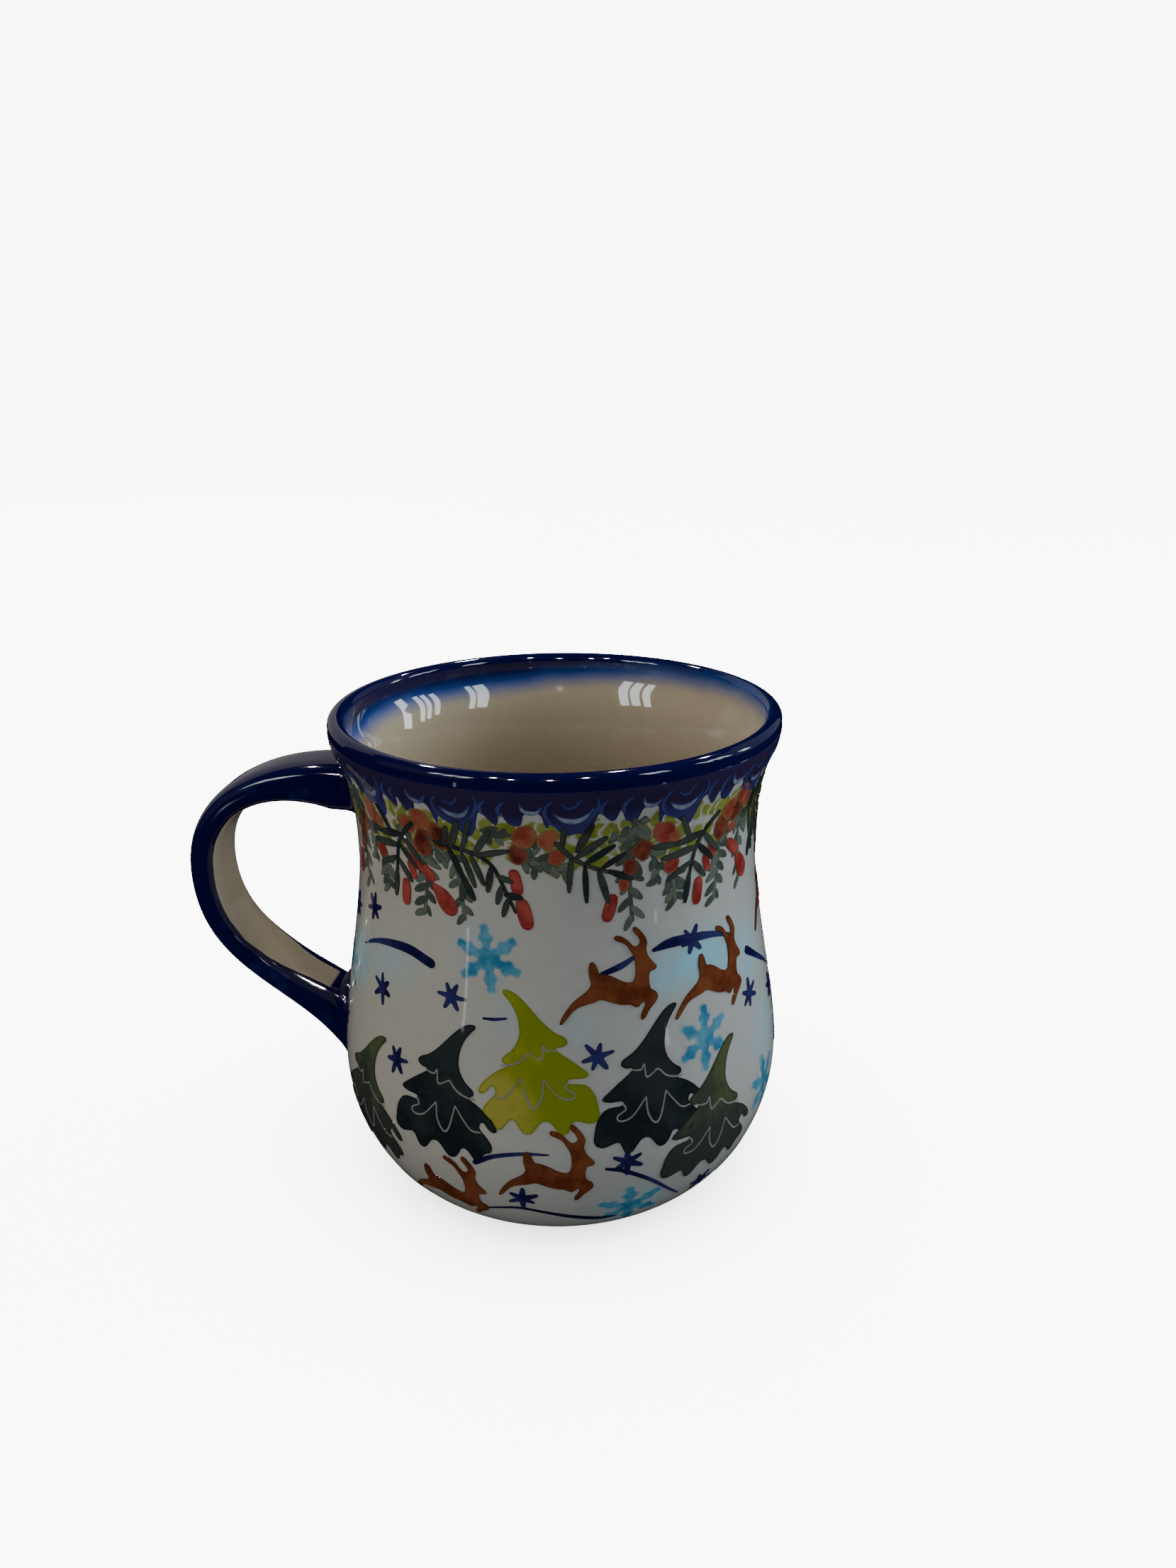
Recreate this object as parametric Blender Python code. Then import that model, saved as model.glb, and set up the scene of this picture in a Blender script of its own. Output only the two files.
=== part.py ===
"""Glazed stoneware mug: vessel, strap handle and the two clay joints that hold the handle.

Metres, +Z up. The origin is on the vessel's axis at the plane it stands on, and the handle
points to -X. The vessel is a turned shape; the handle is a strap swept along one plane curve.
Each handle root sits in a collar of joining clay that follows the curve of the wall.
"""
import math
from bisect import bisect_right

import bmesh
import bpy
from mathutils import Vector

# Outer wall as (radius, height), three cubic arcs: foot to belly, belly to waist, waist to lip.
OUTER_ARCS = (
    ((0.03337, 0.00063), (0.04313, 0.00731), (0.04593, 0.01926), (0.04593, 0.02642)),
    ((0.04593, 0.02642), (0.04593, 0.03747), (0.04058, 0.06071), (0.04058, 0.07155)),
    ((0.04058, 0.07155), (0.04058, 0.09379), (0.04513, 0.09094), (0.04513, 0.09834)),
)
# Inner wall, from the lip down to the floor of the cup.
INNER_ARCS = (
    ((0.04181, 0.09834), (0.04181, 0.09094), (0.03640, 0.09300), (0.03640, 0.07155)),
    ((0.03640, 0.07155), (0.03640, 0.06071), (0.04140, 0.03850), (0.04140, 0.02800)),
    ((0.04140, 0.02800), (0.04140, 0.01500), (0.03400, 0.00640), (0.01800, 0.00640)),
)
LIP_RADIUS = 0.00166          # the lip is a half round
FOOT_OUTER_RADIUS = 0.0326
FOOT_INNER_RADIUS = 0.0274
BASE_RECESS = 0.0008          # the base panel stands clear of the table by this much
BASE_BEVEL = 0.0006
TURNED_SEGMENTS = 64

# Handle centreline as (distance from the axis, height), from the upper root to the lower one.
HANDLE_ARCS = (
    ((0.04600, 0.08450), (0.05530, 0.08480), (0.07558, 0.08143), (0.07558, 0.06273)),
    ((0.07558, 0.06273), (0.07558, 0.04193), (0.05720, 0.03930), (0.04700, 0.02640)),
)
HANDLE_WIDTH = 0.0157
HANDLE_THICKNESS = 0.0061
TOP_FLARE = (0.0046, 0.026)    # extra thickness at the root, and how far out it fades
LOW_FLARE = (0.0036, 0.018)
SECTION_POINTS = 24
SECTION_SQUARENESS = 0.62     # 1 is an ellipse, smaller is closer to a rectangle

GAP = 0.0003                  # clearance between separate pieces
SLIP_THICKNESS = 0.0012       # clay between the handle's end and the wall
COLLAR_LENGTH = 0.0042        # how far the clay is smoothed up the handle
COLLAR_FLARE = 0.0024         # how far it spreads at the wall
COLLAR_EDGE = 0.0006          # its thickness where it ends on the handle

WHITE_GLAZE = (0.72, 0.71, 0.68, 1.0)
NAVY_GLAZE = (0.012, 0.014, 0.09, 1.0)


def arc_points(arc, count):
    """Points of one cubic arc, both ends included."""
    a, b, c, d = (Vector(p) for p in arc)
    points = []
    for i in range(count + 1):
        t = i / count
        s = 1.0 - t
        points.append(a * s**3 + b * 3 * s * s * t + c * 3 * s * t * t + d * t**3)
    return points


def chain(arcs, count):
    """Points of several arcs joined end to end."""
    points = arc_points(arcs[0], count)
    for arc in arcs[1:]:
        points += arc_points(arc, count)[1:]
    return points


WALL_SAMPLES = chain(OUTER_ARCS, 60)
WALL_HEIGHTS = [p.y for p in WALL_SAMPLES]


def wall_radius(z):
    """Outer radius of the vessel at height z."""
    i = min(max(bisect_right(WALL_HEIGHTS, z), 1), len(WALL_SAMPLES) - 1)
    low, high = WALL_SAMPLES[i - 1], WALL_SAMPLES[i]
    return low.x + (high.x - low.x) * (z - low.y) / (high.y - low.y)


def glaze(name, color):
    """A glossy glazed surface."""
    material = bpy.data.materials.new(name)
    material.use_nodes = True
    shader = material.node_tree.nodes["Principled BSDF"]
    shader.inputs["Base Color"].default_value = color
    shader.inputs["Roughness"].default_value = 0.12
    material.diffuse_color = color
    return material


def add_piece(name, verts, faces, color):
    """Make a named solid from vertices and faces, with its normals pointing out."""
    mesh = bpy.data.meshes.new(name)
    mesh.from_pydata(verts, [], faces)
    bm = bmesh.new()
    bm.from_mesh(mesh)
    bmesh.ops.recalc_face_normals(bm, faces=bm.faces)
    bm.to_mesh(mesh)
    bm.free()
    piece = bpy.data.objects.new(name, mesh)
    bpy.context.collection.objects.link(piece)
    mesh.materials.append(glaze(name + "_glaze", color))
    mesh.shade_smooth()
    mesh.set_sharp_from_angle(angle=math.radians(40))
    return piece


def lip_points(count):
    """The half round of the lip, between the outer and the inner wall."""
    centre = Vector(OUTER_ARCS[-1][-1]) - Vector((LIP_RADIUS, 0.0))
    points = []
    for i in range(1, count):
        angle = math.pi * i / count
        points.append(centre + LIP_RADIUS * Vector((math.cos(angle), math.sin(angle))))
    return points


def body_profile():
    """Closed half section of the vessel, from the base panel's centre round to the cup's floor."""
    foot = [
        Vector((0.0, BASE_RECESS)),
        Vector((FOOT_INNER_RADIUS - BASE_BEVEL, BASE_RECESS)),
        Vector((FOOT_INNER_RADIUS, 0.0)),
        Vector((FOOT_OUTER_RADIUS, 0.0)),
    ]
    floor_centre = Vector((0.0, INNER_ARCS[-1][-1][1]))
    return foot + chain(OUTER_ARCS, 8) + lip_points(5) + chain(INNER_ARCS, 6) + [floor_centre]


def add_body():
    """Turn the profile round the Z axis; its first and last points are single vertices."""
    profile = body_profile()
    rim = profile[1:-1]
    verts = [(0.0, 0.0, profile[0].y), (0.0, 0.0, profile[-1].y)]
    for k in range(TURNED_SEGMENTS):
        angle = 2.0 * math.pi * k / TURNED_SEGMENTS
        verts += [(p.x * math.cos(angle), p.x * math.sin(angle), p.y) for p in rim]
    faces = []
    size = len(rim)
    for k in range(TURNED_SEGMENTS):
        here = 2 + k * size
        there = 2 + (k + 1) % TURNED_SEGMENTS * size
        faces.append((0, there, here))
        faces.append((1, here + size - 1, there + size - 1))
        for i in range(size - 1):
            faces.append((here + i, there + i, there + i + 1, here + i + 1))
    add_piece("mug_body", verts, faces, WHITE_GLAZE)


def flare_at(flare, distance):
    """Extra thickness of the strap's inner side at a distance from one of its roots."""
    thickness, reach = flare
    return thickness * max(0.0, 1.0 - distance / reach) ** 1.7


def handle_stations(count):
    """Centre, direction and outward side of the strap at each station of its centreline."""
    line = [Vector((-p.x, 0.0, p.y)) for p in chain(HANDLE_ARCS, count)]
    stations = []
    for i, centre in enumerate(line):
        along = (line[min(i + 1, len(line) - 1)] - line[max(i - 1, 0)]).normalized()
        stations.append((centre, along, Vector((0.0, 1.0, 0.0)).cross(along)))
    return stations


def section_ring(centre, outward, flare, grow=0.0):
    """One rounded strap section, thicker inside by its flare and grown by a margin all round."""
    ring = []
    for k in range(SECTION_POINTS):
        angle = 2.0 * math.pi * k / SECTION_POINTS
        c, s = math.cos(angle), math.sin(angle)
        across = math.copysign(abs(c) ** SECTION_SQUARENESS, c) * (HANDLE_WIDTH / 2 + grow)
        depth = HANDLE_THICKNESS / 2 + grow + (flare if s < 0.0 else 0.0)
        thick = math.copysign(abs(s) ** SECTION_SQUARENESS, s) * depth
        ring.append(centre - Vector((0.0, across, 0.0)) + outward * thick)
    return ring


def slide_to_wall(point, towards, offset):
    """Move a point along a direction until it is `offset` outside the vessel's wall."""
    low, high = -0.03, 0.03
    for _ in range(40):
        middle = (low + high) / 2
        p = point + towards * middle
        if math.hypot(p.x, p.y) > wall_radius(p.z) + offset:
            low = middle
        else:
            high = middle
    return point + towards * high


def wall_ring(ring, towards, offset):
    """A section ring moved onto the wall."""
    return [slide_to_wall(p, towards, offset) for p in ring]


def wall_cap(ring, towards, offset):
    """Rings shrinking to one point that close a section on the wall's curve."""
    centre = sum(ring, Vector()) / len(ring)
    rings = []
    for scale in (0.66, 0.33):
        rings.append(wall_ring([centre.lerp(p, scale) for p in ring], towards, offset))
    return rings, slide_to_wall(centre, towards, offset)


def add_loft(name, rings, first_tip, last_tip, color):
    """Join rings of equal length and close both ends with a point."""
    verts = [p for ring in rings for p in ring] + [first_tip, last_tip]
    first, last = len(verts) - 2, len(verts) - 1
    count = SECTION_POINTS
    end = (len(rings) - 1) * count
    faces = []
    for k in range(count):
        n = (k + 1) % count
        faces.append((first, n, k))
        faces.append((last, end + k, end + n))
        for row in range(0, end, count):
            faces.append((row + k, row + n, row + count + n, row + count + k))
    add_piece(name, verts, faces, color)


def add_handle():
    """The strap, each end cut to the curve of the wall."""
    stations = handle_stations(20)
    offset = GAP + SLIP_THICKNESS + GAP
    run = [0.0]
    for here, there in zip(stations, stations[1:]):
        run.append(run[-1] + (there[0] - here[0]).length)
    rings = []
    for (centre, _, outward), distance in zip(stations, run):
        flare = flare_at(TOP_FLARE, distance) + flare_at(LOW_FLARE, run[-1] - distance)
        rings.append(section_ring(centre, outward, flare))
    inward_first = -stations[0][1]
    inward_last = stations[-1][1]
    rings[0] = wall_ring(rings[0], inward_first, offset)
    rings[-1] = wall_ring(rings[-1], inward_last, offset)
    head, head_tip = wall_cap(rings[0], inward_first, offset)
    tail, tail_tip = wall_cap(rings[-1], inward_last, offset)
    add_loft("handle", head[::-1] + rings + tail, head_tip, tail_tip, NAVY_GLAZE)


def add_slip_joint(name, station, inward, flare):
    """A collar of joining clay: a pad on the wall with a skirt smoothed up the handle."""
    centre, _, outward = station
    root = flare_at(flare, 0.0)
    standoff = math.hypot(centre.x, centre.y) - wall_radius(centre.z)
    foot = wall_ring(section_ring(centre, outward, root, GAP + COLLAR_FLARE), inward, GAP)
    pad, pad_tip = wall_cap(foot, inward, GAP)
    skirt = []
    steps = 5
    for i in range(1, steps + 1):
        t = i / steps
        spread = COLLAR_EDGE + (COLLAR_FLARE - COLLAR_EDGE) * (1.0 - t) ** 2
        past = max(0.0, GAP + COLLAR_LENGTH * t - standoff)
        ring = section_ring(centre, outward, flare_at(flare, past), GAP + spread)
        skirt.append(wall_ring(ring, inward, GAP + COLLAR_LENGTH * t))
    mouth = section_ring(centre, outward, flare_at(flare, past), GAP)
    seat = section_ring(centre, outward, root, GAP)
    socket_floor = GAP + SLIP_THICKNESS
    socket = [wall_ring(mouth, inward, GAP + COLLAR_LENGTH), wall_ring(seat, inward, socket_floor)]
    floor, floor_tip = wall_cap(socket[-1], inward, socket_floor)
    rings = pad[::-1] + [foot] + skirt + socket + floor
    add_loft(name, rings, pad_tip, floor_tip, NAVY_GLAZE)


def main():
    for old in list(bpy.data.objects):
        bpy.data.objects.remove(old)
    add_body()
    add_handle()
    stations = handle_stations(20)
    add_slip_joint("upper_handle_slip_joint", stations[0], -stations[0][1], TOP_FLARE)
    add_slip_joint("lower_handle_slip_joint", stations[-1], stations[-1][1], LOW_FLARE)


main()
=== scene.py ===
import math
import random

import bpy
import numpy as np
from mathutils import Matrix, Vector
from mathutils.geometry import delaunay_2d_cdt


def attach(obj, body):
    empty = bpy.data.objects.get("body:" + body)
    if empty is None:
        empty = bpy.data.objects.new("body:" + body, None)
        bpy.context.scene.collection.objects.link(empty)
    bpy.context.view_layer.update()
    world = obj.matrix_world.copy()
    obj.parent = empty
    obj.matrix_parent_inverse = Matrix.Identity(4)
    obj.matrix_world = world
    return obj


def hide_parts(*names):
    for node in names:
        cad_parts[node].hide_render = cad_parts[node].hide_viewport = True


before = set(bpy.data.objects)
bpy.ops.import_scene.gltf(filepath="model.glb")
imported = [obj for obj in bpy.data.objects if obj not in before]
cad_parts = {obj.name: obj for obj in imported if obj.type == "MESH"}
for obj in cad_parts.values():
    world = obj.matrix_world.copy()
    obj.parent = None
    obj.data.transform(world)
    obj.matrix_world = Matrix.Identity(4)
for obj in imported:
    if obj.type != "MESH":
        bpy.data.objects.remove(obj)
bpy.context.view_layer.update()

MM = 0.001

# ---------------- the shape, as in the CAD
OUTER_ARCS = (
    ((0.03337, 0.00063), (0.04313, 0.00731), (0.04593, 0.01926), (0.04593, 0.02642)),
    ((0.04593, 0.02642), (0.04593, 0.03747), (0.04058, 0.06071), (0.04058, 0.07155)),
    ((0.04058, 0.07155), (0.04058, 0.09379), (0.04513, 0.09094), (0.04513, 0.09834)),
)
INNER_ARCS = (
    ((0.04181, 0.09834), (0.04181, 0.09094), (0.03640, 0.09300), (0.03640, 0.07155)),
    ((0.03640, 0.07155), (0.03640, 0.06071), (0.04140, 0.03850), (0.04140, 0.02800)),
    ((0.04140, 0.02800), (0.04140, 0.01500), (0.03400, 0.00640), (0.01800, 0.00640)),
)
LIP_RADIUS = 1.66 * MM
FOOT_OUTER_RADIUS = 32.6 * MM
FOOT_INNER_RADIUS = 27.4 * MM
BASE_RECESS = 0.8 * MM
HANDLE_ARCS = (
    ((0.04600, 0.08450), (0.05530, 0.08480), (0.07558, 0.08143), (0.07558, 0.06273)),
    ((0.07558, 0.06273), (0.07558, 0.04193), (0.05720, 0.03930), (0.04700, 0.02640)),
)
HANDLE_WIDTH = 15.7 * MM
HANDLE_THICKNESS = 6.1 * MM
TOP_FLARE = (4.6 * MM, 26.0 * MM)     # extra thickness at the root, and how far out it fades
LOW_FLARE = (3.6 * MM, 18.0 * MM)
TURNED_SEGMENTS = 256
SECTION_POINTS = 48
HANDLE_STEPS = 48             # stations on each arc of the handle
HANDLE_SINK = 1.0 * MM        # how far the strap's ends run into the wall
FILLET = 2.3 * MM             # radius of the clay at the handle's roots
FILLET_SINK = 0.6 * MM

PAINT_LIFT = 0.04 * MM        # how far painted shapes stand proud of the glaze under them
PAINT_ROOT = 0.12 * MM        # how deep their closed backs sit in the wall
STEP_LIFT = 0.0025 * MM       # each later brush stroke lies this much over the one before
LAYER_LIFT = 0.035 * MM       # and each later colour this much over the colours before it
FINEST_STROKE = 0.12          # width in mm, like all the drawings


def arc_points(arc, count):
    """Points of one cubic arc, both ends included."""
    a, b, c, d = (np.array(p) for p in arc)
    t = np.linspace(0.0, 1.0, count + 1)[:, None]
    s = 1.0 - t
    return a * s**3 + b * 3 * s * s * t + c * 3 * s * t * t + d * t**3


def chain(arcs, count):
    """Points of several arcs joined end to end."""
    parts = [arc_points(arcs[0], count)] + [arc_points(arc, count)[1:] for arc in arcs[1:]]
    return np.concatenate(parts)


def running_length(points):
    """Distance along a polyline at each of its points."""
    steps = np.hypot(*np.diff(points, axis=0).T)
    return np.concatenate([[0.0], np.cumsum(steps)])


WALL = chain(OUTER_ARCS, 150)
WALL_LENGTH = running_length(WALL)
WALL_SLOPE = np.gradient(WALL, WALL_LENGTH, axis=0)


def wall_radius_along(along):
    """Outer radius at a distance up the wall, measured along it from the foot."""
    return np.interp(along, WALL_LENGTH, WALL[:, 0])


def wall_radius_at(z):
    """Outer radius at a height."""
    return np.interp(z, WALL[:, 1], WALL[:, 0])


def on_wall(azimuth, along, lift):
    """Points standing `lift` off the outer wall, from azimuth and distance up the wall."""
    radius, height = (np.interp(along, WALL_LENGTH, column) for column in WALL.T)
    slope_r, slope_z = (np.interp(along, WALL_LENGTH, column) for column in WALL_SLOPE.T)
    radius = radius + lift * slope_z
    height = height - lift * slope_r
    return np.stack([radius * np.cos(azimuth), radius * np.sin(azimuth), height], axis=-1)


# ---------------- mesh helpers
def add_mesh(name, verts, faces, materials, attributes=()):
    """A smooth-shaded mesh object with float attributes on its vertices."""
    mesh = bpy.data.meshes.new(name)
    mesh.from_pydata([tuple(v) for v in verts], [], faces)
    for label, values in attributes:
        layer = mesh.attributes.new(label, "FLOAT", "POINT")
        layer.data.foreach_set("value", np.asarray(values, dtype=np.float32))
    for material in materials:
        mesh.materials.append(material)
    mesh.shade_smooth()
    mesh.set_sharp_from_angle(angle=math.radians(50))
    mesh.update()
    piece = bpy.data.objects.new(name, mesh)
    bpy.context.collection.objects.link(piece)
    return piece


def dress(piece, slot, *nodes):
    """Put a piece on the mug's one body and hide the CAD nodes it stands for; the slot argument is not
    used.
    """
    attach(piece, "root")
    if nodes:
        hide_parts(*nodes)


def turned(name, profile, materials, attributes, material_of):
    """Turn an open profile of (radius, height) round Z; ends on the axis become single points."""
    rim = profile[1:-1]
    size = len(rim)
    verts = [(0.0, 0.0, profile[0][1]), (0.0, 0.0, profile[-1][1])]
    for k in range(TURNED_SEGMENTS):
        angle = 2.0 * math.pi * k / TURNED_SEGMENTS
        c, s = math.cos(angle), math.sin(angle)
        verts += [(r * c, r * s, z) for r, z in rim]
    faces, slots = [], []
    for k in range(TURNED_SEGMENTS):
        here = 2 + k * size
        there = 2 + (k + 1) % TURNED_SEGMENTS * size
        faces.append((0, there, here))
        faces.append((1, here + size - 1, there + size - 1))
        slots += [material_of(0), material_of(size)]
        for i in range(size - 1):
            faces.append((here + i, there + i, there + i + 1, here + i + 1))
            slots.append(material_of(i + 1))
    full = []
    for label, values in attributes:
        column = list(values[1:-1])
        full.append((label, [values[0], values[-1]] + column * TURNED_SEGMENTS))
    piece = add_mesh(name, verts, faces, materials, full)
    piece.data.polygons.foreach_set("material_index", slots)
    return piece


# ---------------- node helpers
class Finish:
    """A Principled material with short calls for the nodes it is built from."""

    def __init__(self, name, roughness=0.04):
        self.material = bpy.data.materials.new(name)
        self.material.use_nodes = True
        self.tree = self.material.node_tree
        self.shader = self.tree.nodes["Principled BSDF"]
        self.shader.inputs["Roughness"].default_value = roughness
        self.place = self.node("ShaderNodeTexCoord").outputs["Object"]

    def node(self, kind, **settings):
        """A new node with its settings."""
        made = self.tree.nodes.new(kind)
        for key, value in settings.items():
            setattr(made, key, value)
        return made

    def put(self, socket, value):
        """Give a socket a link, a colour of three parts or a number."""
        if isinstance(value, bpy.types.NodeSocket):
            self.tree.links.new(value, socket)
        else:
            socket.default_value = (*value, 1.0) if isinstance(value, tuple) else value

    def noise(self, scale, detail=3.0, roughness=0.5):
        """Cloudy noise from 0 to 1; the scale is per metre."""
        made = self.node("ShaderNodeTexNoise")
        for key, value in (("Vector", self.place), ("Scale", scale), ("Detail", detail),
                           ("Roughness", roughness)):
            self.put(made.inputs[key], value)
        return made.outputs["Fac"]

    def ramp(self, value, low, high, out_low=0.0, out_high=1.0):
        """A soft step from out_low to out_high as the value goes from low to high."""
        made = self.node("ShaderNodeMapRange", interpolation_type="SMOOTHSTEP")
        for key, number in (("Value", value), ("From Min", low), ("From Max", high),
                            ("To Min", out_low), ("To Max", out_high)):
            self.put(made.inputs[key], number)
        return made.outputs["Result"]

    def math(self, operation, first, second):
        """A sum, difference or product of numbers."""
        made = self.node("ShaderNodeMath", operation=operation)
        self.put(made.inputs[0], first)
        self.put(made.inputs[1], second)
        return made.outputs["Value"]

    def mix(self, factor, first, second):
        """The first colour at factor 0 and the second at 1."""
        made = self.node("ShaderNodeMix", data_type="RGBA")
        self.put(made.inputs["Factor"], factor)
        self.put(made.inputs[6], first)
        self.put(made.inputs[7], second)
        return made.outputs[2]

    def attribute(self, name):
        """A number stored on the mesh's points."""
        return self.node("ShaderNodeAttribute", attribute_name=name).outputs["Fac"]

    def axis(self, name):
        """One coordinate of the shaded point, in metres."""
        made = self.node("ShaderNodeSeparateXYZ")
        self.put(made.inputs["Vector"], self.place)
        return made.outputs[name]

    def near(self, centre, radius):
        """1 at a point, falling softly to 0 at a radius."""
        made = self.node("ShaderNodeVectorMath", operation="DISTANCE")
        self.put(made.inputs[0], self.place)
        made.inputs[1].default_value = centre
        return self.ramp(made.outputs["Value"], radius, 0.0)

    def waves(self, strength=0.04):
        """The slow unevenness of a fired glaze."""
        bump = self.node("ShaderNodeBump")
        self.put(bump.inputs["Strength"], strength)
        self.put(bump.inputs["Distance"], 0.6 * MM)
        self.put(bump.inputs["Height"], self.noise(55.0, 2.0, 0.4))
        self.put(self.shader.inputs["Normal"], bump.outputs["Normal"])

    def color(self, value):
        """Set the base colour; the finished material is given back."""
        self.put(self.shader.inputs["Base Color"], value)
        return self.material


# Clay tints for painted light: warm on one side of the mug, cool on the other.
PAINTED_WARM_LIGHT_GROUND = (0.49, 0.465, 0.40)
PAINTED_COOL_LIGHT_GROUND = (0.44, 0.46, 0.45)
SKY_HAZE = (0.28, 0.56, 0.70)
# Grey for random mottling of the clay, and for painted shade towards the foot.
GREY_MOTTLE_AND_PAINTED_SHADE = (0.34, 0.35, 0.33)
SPECK = (0.12, 0.09, 0.07)
NAVY = (0.004, 0.0035, 0.052)
NAVY_THIN = (0.026, 0.085, 0.36)
CREAM = (0.44, 0.375, 0.27)
CREAM_SHADE = (0.36, 0.32, 0.25)
# Lighter cream, painted light on the upper part of the handle's inner face.
CREAM_PAINTED_LIGHT = (0.66, 0.58, 0.46)
BAND_DARK = (0.028, 0.019, 0.062)
BAND_BLUE = (0.040, 0.038, 0.155)
BAND_EDGE_BLUE = (0.016, 0.018, 0.11)

# Underglaze colours: a thin coat, a thick coat, and the pigment pooled along an edge.
PAINTS = {
    "fir_light": ((0.36, 0.34, 0.055), (0.20, 0.255, 0.003), (0.15, 0.20, 0.004)),
    "fir_dark": ((0.027, 0.034, 0.037), (0.012, 0.017, 0.021), (0.006, 0.008, 0.011)),
    "fir_olive": ((0.085, 0.105, 0.048), (0.042, 0.048, 0.044), (0.022, 0.028, 0.020)),
    "scratched": ((0.42, 0.42, 0.38), (0.28, 0.29, 0.26), (0.20, 0.21, 0.19)),
    "deer_brown": ((0.20, 0.062, 0.024), (0.115, 0.029, 0.011), (0.045, 0.012, 0.006)),
    "cobalt": ((0.031, 0.034, 0.140), (0.010, 0.008, 0.060), (0.008, 0.007, 0.052)),
    "deep_navy": ((0.012, 0.014, 0.07), (0.004, 0.004, 0.022), (0.004, 0.004, 0.03)),
    "pale": ((0.30, 0.36, 0.42), (0.055, 0.070, 0.21), (0.035, 0.05, 0.20)),
    "berry_orange": ((0.34, 0.12, 0.060), (0.25, 0.050, 0.032), (0.25, 0.14, 0.055)),
    "berry_red": ((0.33, 0.075, 0.052), (0.21, 0.026, 0.022), (0.26, 0.11, 0.055)),
    "berry_dark": ((0.22, 0.060, 0.032), (0.085, 0.016, 0.013), (0.22, 0.08, 0.04)),
    "drop_red": ((0.38, 0.075, 0.060), (0.22, 0.026, 0.020), (0.20, 0.022, 0.018)),
    "soft_needles": ((0.135, 0.165, 0.130), (0.060, 0.080, 0.064), (0.060, 0.078, 0.060)),
    "dark_needles": ((0.060, 0.074, 0.062), (0.022, 0.030, 0.030), (0.012, 0.017, 0.018)),
}

# Sprayed light-blue clouds: azimuth in degrees, distance up the wall and radius in mm, strength.
HAZES = (
    (-33, 62, 9, 1.2), (-40, 63, 8, 1.2), (-47, 63, 8, 1.1), (-54, 62, 7, 0.7), (-22, 58, 11, 0.8),
    (-126, 61, 8, 0.35), (-135, 60, 8, 0.45), (-150, 57, 10, 0.8), (-76, 54, 6, 0.35),
    (-94, 56, 7, 0.25), (-14, 40, 11, 0.6), (-62, 12, 11, 0.5), (-104, 70, 9, 0.2),
    (16, 60, 12, 0.7), (52, 60, 9, 1.0), (62, 62, 8, 0.9), (86, 50, 9, 0.5), (118, 62, 11, 0.7),
    (150, 48, 11, 0.6),
)


def ground(finish):
    """Colour of the clear-glazed clay under the painting, with painted light (warm on the -X side, cool
    on the +X side) and painted shade greying it towards the foot.
    """
    cloud = finish.noise(38.0, 4.0, 0.55)
    # Painted light: warm tint on the -X side, cool tint on the +X side.
    side = finish.ramp(finish.axis("X"), -35 * MM, 30 * MM)
    tint = finish.mix(side, PAINTED_WARM_LIGHT_GROUND, PAINTED_COOL_LIGHT_GROUND)
    tint = finish.mix(finish.ramp(cloud, 0.42, 0.75, 0.0, 0.22), tint, GREY_MOTTLE_AND_PAINTED_SHADE)
    grain = finish.noise(420.0, 3.0, 0.7)
    tint = finish.mix(finish.ramp(grain, 0.40, 0.75, 0.0, 0.16), tint, GREY_MOTTLE_AND_PAINTED_SHADE)
    # Painted shade: greyer towards the foot.
    low = finish.ramp(finish.axis("Z"), 30 * MM, 4 * MM, 0.0, 0.55)
    tint = finish.mix(low, tint, GREY_MOTTLE_AND_PAINTED_SHADE)
    streak = finish.noise(120.0, 3.0, 0.6)
    for azimuth, along, radius, strength in HAZES:
        cover = finish.near(on_wall(math.radians(azimuth), along * MM, 0.0), radius * MM)
        uneven = finish.ramp(streak, 0.30, 0.65, 0.4 * strength, strength)
        tint = finish.mix(finish.math("MULTIPLY", cover, uneven), tint, SKY_HAZE)
    specks = finish.node("ShaderNodeTexVoronoi")
    finish.put(specks.inputs["Vector"], finish.place)
    finish.put(specks.inputs["Scale"], 130.0)
    dots = finish.ramp(specks.outputs["Distance"], 0.050, 0.025)
    rare = finish.ramp(finish.noise(90.0, 1.0), 0.62, 0.66, 0.0, 0.55)
    return finish.mix(finish.math("MULTIPLY", dots, rare), tint, SPECK)


def body_finish():
    """Ground outside, cream inside, navy over the lip fading softly into the cup."""
    finish = Finish("white_glaze")
    finish.waves()
    turn = finish.attribute("turn")
    wobble = finish.math("MULTIPLY", finish.noise(45.0, 3.0), 3.0)
    inside = finish.ramp(turn, 0.0, 0.2)
    # The ground outside carries painted light and painted shade.
    tint = finish.mix(inside, ground(finish), CREAM)
    depth = finish.math("SUBTRACT", turn, wobble)
    lean = finish.ramp(finish.axis("X"), -40 * MM, 35 * MM, -2.4, 2.0)
    depth = finish.math("ADD", depth, lean)
    fade = finish.ramp(depth, 7.6, 2.6)
    blue = finish.mix(finish.ramp(depth, 5.0, 0.2), NAVY_THIN, NAVY)
    tint = finish.mix(finish.math("MULTIPLY", fade, inside), tint, blue)
    lip = finish.ramp(turn, -4.2, -3.9)
    lip = finish.math("MULTIPLY", lip, finish.ramp(turn, 0.3, 0.1))
    tint = finish.mix(lip, tint, NAVY)
    return finish.color(tint)


def bisque_finish():
    """Bare fired clay of the foot ring."""
    finish = Finish("bare_clay", roughness=0.8)
    grain = finish.noise(900.0, 4.0, 0.7)
    tint = finish.mix(finish.ramp(grain, 0.3, 0.7), (0.42, 0.34, 0.25), (0.58, 0.50, 0.40))
    return finish.color(tint)


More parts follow.
